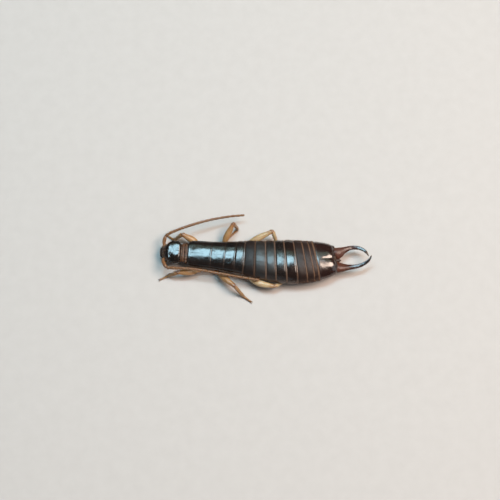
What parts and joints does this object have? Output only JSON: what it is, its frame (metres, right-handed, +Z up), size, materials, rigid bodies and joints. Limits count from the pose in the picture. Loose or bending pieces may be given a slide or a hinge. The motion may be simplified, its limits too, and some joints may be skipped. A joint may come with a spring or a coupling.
{
  "type": "earwig",
  "caption": "Wingless earwig, adult male, life size, crouched with the body gently bent, antennae swept back and curved forceps nearly closed.",
  "frame": {"origin": "centre of the whole footprint, on the floor under the feet", "axes": "+Z up, the head towards -X and the forceps towards +X, the animal's right side towards +Y"},
  "size_m": [0.0202, 0.0086, 0.0022],
  "materials": {
    "shell_black": "polished dark brown-black chitin",
    "shell_red": "polished dark red-brown chitin",
    "membrane": "dull folded brown skin",
    "leg_straw": "satin straw-coloured chitin",
    "antenna_brown": "finely downy orange-brown chitin",
    "mouth_brown": "satin brown chitin",
    "eye_black": "black facets with a dull gloss"
  },
  "bodies": {
    "root": {"abdomen_1": "shell_black", "abdomen_10": "shell_red", "abdomen_2": "shell_black", "abdomen_3": "shell_black", "abdomen_4": "shell_black", "abdomen_5": "shell_black", "abdomen_6": "shell_black", "abdomen_7": "shell_black", "abdomen_8": "shell_red", "abdomen_9": "shell_red", "antenna_left_flagellum": "antenna_brown", "antenna_left_scape": "antenna_brown", "antenna_right_flagellum": "antenna_brown", "antenna_right_scape": "antenna_brown", "eye_left": "eye_black", "eye_right": "eye_black", "forceps_left": "shell_red", "forceps_right": "shell_red", "head": "shell_black", "labium": "mouth_brown", "labrum": "mouth_brown", "leg_front_left_coxa": "leg_straw", "leg_front_left_femur": "leg_straw", "leg_front_left_tarsus": "leg_straw", "leg_front_left_tibia": "leg_straw", "leg_front_right_coxa": "leg_straw", "leg_front_right_femur": "leg_straw", "leg_front_right_tarsus": "leg_straw", "leg_front_right_tibia": "leg_straw", "leg_hind_left_coxa": "leg_straw", "leg_hind_left_femur": "leg_straw", "leg_hind_left_tarsus": "leg_straw", "leg_hind_left_tibia": "leg_straw", "leg_hind_right_coxa": "leg_straw", "leg_hind_right_femur": "leg_straw", "leg_hind_right_tarsus": "leg_straw", "leg_hind_right_tibia": "leg_straw", "leg_mid_left_coxa": "leg_straw", "leg_mid_left_femur": "leg_straw", "leg_mid_left_tarsus": "leg_straw", "leg_mid_left_tibia": "leg_straw", "leg_mid_right_coxa": "leg_straw", "leg_mid_right_femur": "leg_straw", "leg_mid_right_tarsus": "leg_straw", "leg_mid_right_tibia": "leg_straw", "mandible_left": "mouth_brown", "mandible_right": "mouth_brown", "mesothorax": "shell_black", "metathorax": "shell_black", "neck": "membrane", "palp_left": "leg_straw", "palp_right": "leg_straw", "prothorax": "shell_black", "pygidium": "shell_red"}
  },
  "joints": []
}
